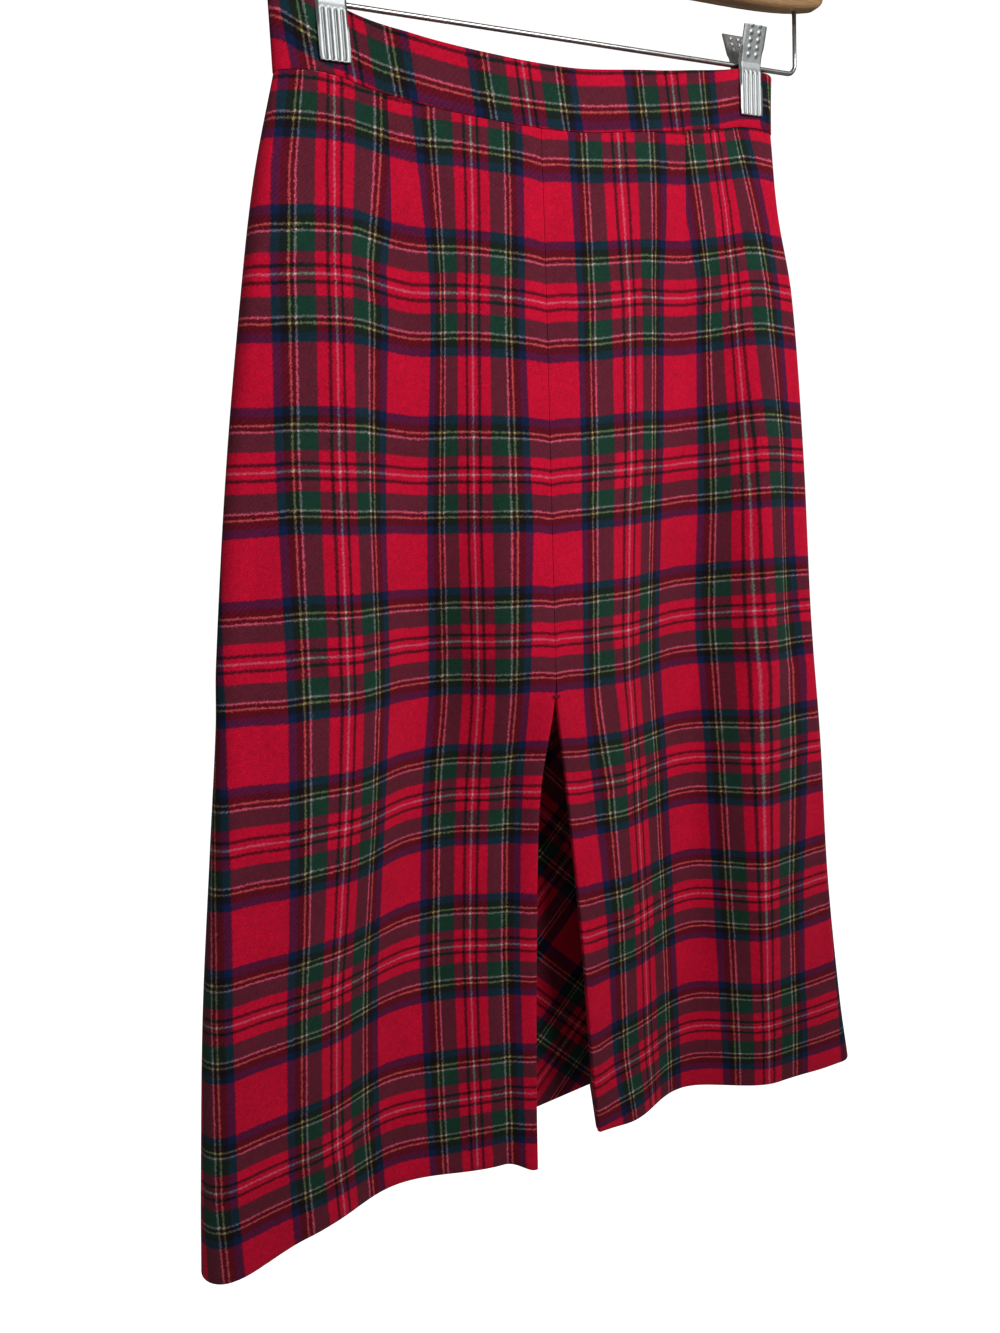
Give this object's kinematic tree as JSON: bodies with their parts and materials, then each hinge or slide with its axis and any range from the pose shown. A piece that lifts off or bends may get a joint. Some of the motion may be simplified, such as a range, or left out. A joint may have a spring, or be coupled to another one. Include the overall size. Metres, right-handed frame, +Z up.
{
  "type": "tartan skirt on clip hanger",
  "caption": "Knee-length A-line tartan wool skirt with an inverted front pleat and a set-on waistband, clipped to a wooden bar hanger with a wire hook.",
  "frame": {"origin": "the point where the hanger's hook rests on its rail, at the top of the inside of the crook", "axes": "+Z up, the skirt's front faces -Y, +X to the right of someone who looks at the front"},
  "size_m": [0.517, 0.0882, 0.8708],
  "materials": {
    "tartan_cloth": "brushed wool twill in a red, blue, green, black, yellow and white tartan",
    "band_cloth": "the same wool twill, doubled, with its own cut of the tartan",
    "bias_cloth": "the same wool twill, cut on the bias",
    "tape": "matt woven zip tape",
    "button": "dark polished resin",
    "bar_wood": "pale lacquered beech",
    "wire": "bright plated wire",
    "clip_metal": "bright plated strip, ribbed and dimpled",
    "spring_metal": "plain coiled steel"
  },
  "bodies": {
    "root": {"waistband": "band_cloth", "front_left": "tartan_cloth", "front_right": "tartan_cloth", "pleat_underlay": "bias_cloth", "back_left": "tartan_cloth", "back_right": "tartan_cloth", "zip_tape": "tape", "waist_button": "button", "hanger_bar": "bar_wood", "hanger_hook": "wire", "clip_wire": "wire", "clip_left_front": "clip_metal", "clip_left_back": "clip_metal", "clip_left_spring": "spring_metal", "clip_right_front": "clip_metal", "clip_right_back": "clip_metal", "clip_right_spring": "spring_metal"}
  },
  "joints": []
}
